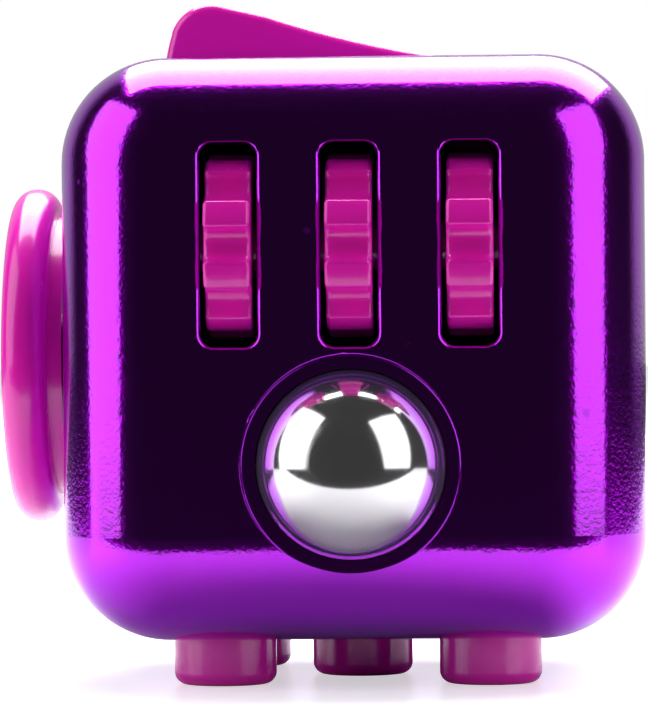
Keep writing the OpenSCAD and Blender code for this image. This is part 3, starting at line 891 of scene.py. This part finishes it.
@dataclass
class TurningDial:
    """The dial: a disc with a round rim, a shallow hollow in its face, a collar and a shaft."""

    rim: float = 1.25 * MM
    grip: float = 2.6 * MM
    collar_step: float = 1.6 * MM
    collar_height: float = 0.8 * MM
    shaft: float = 2.5 * MM
    socket: float = 0.8 * MM
    socket_depth: float = 4.0 * MM
    face: float = 7.4 * MM
    face_depth: float = 0.35 * MM
    rim_steps: int = 14
    face_steps: int = 16
    columns: int = 192

    def build(self) -> None:
        """Builds the dial as one turned profile, from the shaft's end to the middle of its face."""
        low, high = box_arrays("dial")
        radius = float(high[1] - low[1]) / 2
        top = float(high[0] - low[0])
        start = np.array([high[0], (low[1] + high[1]) / 2, (low[2] + high[2]) / 2])
        under = top - self.grip
        back = under - self.collar_height
        collar = radius - self.collar_step
        flat = radius - self.rim
        bowl = (self.face**2 + self.face_depth**2) / (2 * self.face_depth)
        sweep = math.degrees(math.asin(self.face / bowl))
        profile = Outline().path(
            (0.0, self.socket_depth),
            (self.socket, self.socket_depth),
            (self.socket, 0.0),
            (self.shaft, 0.0),
            (self.shaft, back),
            (collar, back),
            (collar, under),
            (flat, under),
        )
        profile.arc((flat, under + self.rim), self.rim, -90, 0, self.rim_steps)
        profile.line((radius, under + self.rim), (radius, top - self.rim))
        profile.arc((flat, top - self.rim), self.rim, 0, 90, self.rim_steps)
        profile.line((flat, top), (self.face, top))
        centre = (0.0, top - self.face_depth + bowl)
        profile.arc(centre, bowl, sweep - 90, -90, self.face_steps, hollow=True).end_on_axis()
        dial = Axes(start, -X, Y).revolve(profile, self.columns)
        stand_for("turning_dial", dial, "dial", "dial_body")


@dataclass
class GlidingStick:
    """The joystick's cap, with a rounded edge and a hollow face."""

    edge: float = 0.8 * MM
    face_sphere: float = 18.0 * MM
    face_depth: float = 0.4 * MM
    socket: float = 1.2 * MM
    socket_depth: float = 1.2 * MM
    edge_steps: int = 12
    face_steps: int = 16
    columns: int = 160

    def build(self) -> None:
        """Builds the cap as one turned profile, from its socket to the middle of its face."""
        low, high = box_arrays("joystick_cap")
        radius = float(high[0] - low[0]) / 2
        start = np.array([(low[0] + high[0]) / 2, low[1], (low[2] + high[2]) / 2])
        top = float(high[1] - low[1])
        flat, shoulder = radius - self.edge, top - self.edge
        sphere = self.face_sphere
        face = math.sqrt(sphere**2 - (sphere - self.face_depth) ** 2)
        sweep = math.degrees(math.asin(face / sphere))
        profile = Outline().path(
            (0.0, self.socket_depth),
            (self.socket, self.socket_depth),
            (self.socket, 0.0),
            (radius, 0.0),
            (radius, shoulder),
        )
        profile.arc((flat, shoulder), self.edge, 0, 90, self.edge_steps)
        profile.line((flat, top), (face, top))
        centre = (0.0, top - self.face_depth + sphere)
        profile.arc(centre, sphere, sweep - 90, -90, self.face_steps, hollow=True).end_on_axis()
        cap = Axes(start, Y, X).revolve(profile, self.columns)
        stand_for("joystick_thumb_cap", cap, "joystick_cap", "joystick_body")


@dataclass
class PushButtons:
    """Five push buttons with rounded ends, each with its flange and stem."""

    names: tuple[str, ...] = ("front_left", "front_right", "centre", "rear_left", "rear_right")
    radius: float = 2.925 * MM
    edge: float = 0.7 * MM
    flange_place: float = 4.55 * MM
    flange_thickness: float = 0.7 * MM
    stem: float = 0.9 * MM
    edge_steps: int = 12
    columns: int = 96

    def build(self) -> None:
        """Builds each button as one turned profile, from its stem's top to its tip's middle."""
        for name in self.names:
            node = f"{name}_button"
            low, high = box_arrays(node)
            start = np.array([(low[0] + high[0]) / 2, (low[1] + high[1]) / 2, high[2]])
            tip = float(high[2] - low[2])
            flange = float(high[0] - low[0]) / 2
            flange_low = tip - self.flange_place
            flange_top = flange_low - self.flange_thickness
            flat, shoulder = self.radius - self.edge, tip - self.edge
            profile = Outline().path(
                (0.0, 0.0),
                (self.stem, 0.0),
                (self.stem, flange_top),
                (flange, flange_top),
                (flange, flange_low),
                (self.radius, flange_low),
                (self.radius, shoulder),
            )
            profile.arc((flat, shoulder), self.edge, 0, 90, self.edge_steps)
            profile.line((flat, tip), (0.0, tip))
            button = Axes(start, -Z, X).revolve(profile, self.columns)
            stand_for(f"{name}_push_button", button, node, f"{node}_body")


@dataclass
class Inside:
    """The frames, springs, screws and pins behind the shell, which are the frame's own solids."""

    slots: dict[str, Slot] = field(
        default_factory=lambda: {
            "roll_carrier": Slot.INNER,
            "rocker_bracket": Slot.INNER,
            "joystick_stem": Slot.INNER,
            "joystick_housing": Slot.INNER,
            "button_plate": Slot.INNER,
            "ball_cup": Slot.SLIDE,
            "joystick_slider": Slot.SLIDE,
            "joystick_centring_ring": Slot.RING,
        }
    )

    def build(self) -> None:
        """Dresses every node that is still shown and has no finish of its own yet."""
        for name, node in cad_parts.items():
            if not node.hide_render and name not in Shells.nodes:
                dress(node, self.slots.get(name, Slot.STEEL))
                LOG.info("%s dressed", name)


# --- studio --------------------------------------------------------------------------


def four_cornered(name: str, corners: list[Triple]) -> bpy.types.Object:
    """Makes a flat object with four corners.

    Args:
        name: The object's name.
        corners: Its corners, in order round it.

    Returns:
        The object, with no material yet.
    """
    mesh = bpy.data.meshes.new(name)
    mesh.from_pydata(corners, [], [(0, 1, 2, 3)])
    return place_object(name, mesh)


@dataclass
class SoftPanel:
    """A flat glowing panel, given by its four corners seen from the middle of the object."""

    name: str
    strength: float
    corners: tuple[Triple, ...]

    def build(self, middle: Vector) -> None:
        """Makes the panel, which the camera doesn't see.

        Args:
            middle: The point that the corners are measured from.
        """
        panel = four_cornered(self.name, [Vector(corner) + middle for corner in self.corners])
        glow = bpy.data.materials.new(self.name)
        glow.use_nodes = True
        b = Builder(glow.node_tree)
        glow.node_tree.nodes.remove(glow.node_tree.nodes["Principled BSDF"])
        light = b.node("ShaderNodeEmission", {"Strength": self.strength})
        b.feed(glow.node_tree.nodes["Material Output"], {"Surface": light.outputs[0]})
        panel.data.materials.append(glow)
        panel.visible_camera = False


PANELS = (
    SoftPanel(
        "overhead_panel",
        8.0,
        ((-0.27, 0.00, 0.50), (0.46, 0.03, 0.50), (0.44, 0.87, 0.50), (-0.25, 0.86, 0.50)),
    ),
    SoftPanel(
        "left_panel",
        1.9,
        (
            (-0.165, -0.140, -0.0127),
            (-0.215, -0.010, -0.0127),
            (-0.140, 0.029, 0.160),
            (-0.090, -0.101, 0.168),
        ),
    ),
    SoftPanel(
        "right_panel",
        1.7,
        (
            (0.134, -0.169, -0.0127),
            (0.205, -0.072, -0.0127),
            (0.142, -0.023, 0.162),
            (0.068, -0.127, 0.161),
        ),
    ),
)


@dataclass
class Studio:
    """The pale floor, the soft panels, the surroundings and the camera.

    Lengths are in metres and angles in degrees. Reflections see the floor's pale sheet only from
    floor_front before the object to behind it, and as far as floor_side to each side.
    """

    eye: Triple = (0.010, -0.2635, 0.0192)
    yaw: float = 2.646
    pitch: float = -0.154
    roll: float = -0.45
    lens: float = 223.5
    sensor: float = 36.0
    clip_start: float = 0.01
    panels_middle: float = 0.0128
    floor_reach: float = 4.0
    floor_front: float = 0.042
    floor_side: float = 0.21
    floor_tone: Triple = (0.80, 0.80, 0.81)
    floor_roughness: float = 0.3
    floor_specular: float = 0.25
    floor_glow: float = 0.55
    dark: float = 0.02
    bright: float = 0.45
    bright_from: float = 0.4
    bright_to: float = 0.7

    def floor(self) -> None:
        """Makes the floor.

        It is pale to the camera everywhere, and to reflections only on the sheet under the object.
        """
        far = self.floor_reach
        corners = [(-far, -far, 0.0), (far, -far, 0.0), (far, far, 0.0), (-far, far, 0.0)]
        floor = four_cornered("floor", corners)
        made = bpy.data.materials.new("pale_sheet")
        made.use_nodes = True
        b = Builder(made.node_tree)
        nodes = made.node_tree.nodes
        b.feed(
            nodes["Principled BSDF"],
            {
                "Base Color": (*self.floor_tone, 1.0),
                "Roughness": self.floor_roughness,
                "Specular IOR Level": self.floor_specular,
            },
        )
        coordinates = b.node("ShaderNodeTexCoord").outputs["Object"]
        place = b.node("ShaderNodeSeparateXYZ", {0: coordinates}).outputs
        near = b.math("GREATER_THAN", place["Y"], -self.floor_front)
        wide = b.math("LESS_THAN", b.math("ABSOLUTE", place["X"]), self.floor_side)
        seen = b.node("ShaderNodeLightPath").outputs["Is Camera Ray"]
        pale = b.math("MAXIMUM", b.math("MULTIPLY", near, wide), seen)
        beyond = b.node("ShaderNodeEmission", {"Strength": self.dark})
        glow = b.node(
            "ShaderNodeEmission", {"Strength": b.math("MULTIPLY", seen, self.floor_glow)}
        )
        sheet = b.node(
            "ShaderNodeAddShader", {0: nodes["Principled BSDF"].outputs[0], 1: glow.outputs[0]}
        )
        mix = b.node(
            "ShaderNodeMixShader", {"Fac": pale, 1: beyond.outputs[0], 2: sheet.outputs[0]}
        )
        b.feed(nodes["Material Output"], {"Surface": mix.outputs[0]})
        floor.data.materials.append(made)

    def surroundings(self) -> None:
        """Makes the world: white to the camera and behind the object, dark on the camera's side."""
        world = bpy.data.worlds.new("studio")
        bpy.context.scene.world = world
        world.use_nodes = True
        b = Builder(world.node_tree)
        coordinates = b.node("ShaderNodeTexCoord").outputs["Generated"]
        side = b.node("ShaderNodeSeparateXYZ", {0: coordinates})
        ramp = b.node(
            "ShaderNodeMapRange",
            {
                "Value": side.outputs["Y"],
                "From Min": self.bright_from,
                "From Max": self.bright_to,
                "To Min": self.dark,
                "To Max": self.bright,
            },
            interpolation_type="SMOOTHSTEP",
        )
        seen = b.node("ShaderNodeLightPath").outputs["Is Camera Ray"]
        b.feed(
            world.node_tree.nodes["Background"],
            {
                "Color": (1.0, 1.0, 1.0, 1.0),
                "Strength": b.math("MAXIMUM", ramp.outputs["Result"], seen),
            },
        )

    def camera(self) -> None:
        """Makes the camera, which looks along +Y.

        It is turned left by yaw, up by pitch, and rolled about its own line of sight.
        """
        data = bpy.data.cameras.new("camera")
        data.lens = self.lens
        data.sensor_width = self.sensor
        data.clip_start = self.clip_start
        camera = place_object("camera", data)
        turn = (
            Matrix.Rotation(math.radians(self.yaw), 4, "Z")
            @ Matrix.Rotation(math.radians(90 + self.pitch), 4, "X")
            @ Matrix.Rotation(math.radians(self.roll), 4, "Z")
        )
        camera.matrix_world = Matrix.Translation(Vector(self.eye)) @ turn
        bpy.context.scene.camera = camera

    def build(self) -> None:
        """Builds the whole studio."""
        self.camera()
        self.floor()
        self.surroundings()
        for panel in PANELS:
            panel.build(Vector((0.0, 0.0, self.panels_middle)))
        bpy.context.scene.view_settings.view_transform = "Standard"
        LOG.info("studio built")


def main() -> None:
    """Builds the studio and every sub-assembly in order."""
    logging.basicConfig(level=logging.INFO, format="%(name)s: %(message)s")
    parts = (
        Studio(),
        Shells(),
        ToothedWheels(),
        RollingBall(),
        RockerSwitch(),
        TurningDial(),
        GlidingStick(),
        PushButtons(),
        Inside(),
    )
    for part in parts:
        part.build()


if __name__ == "__main__":
    main()
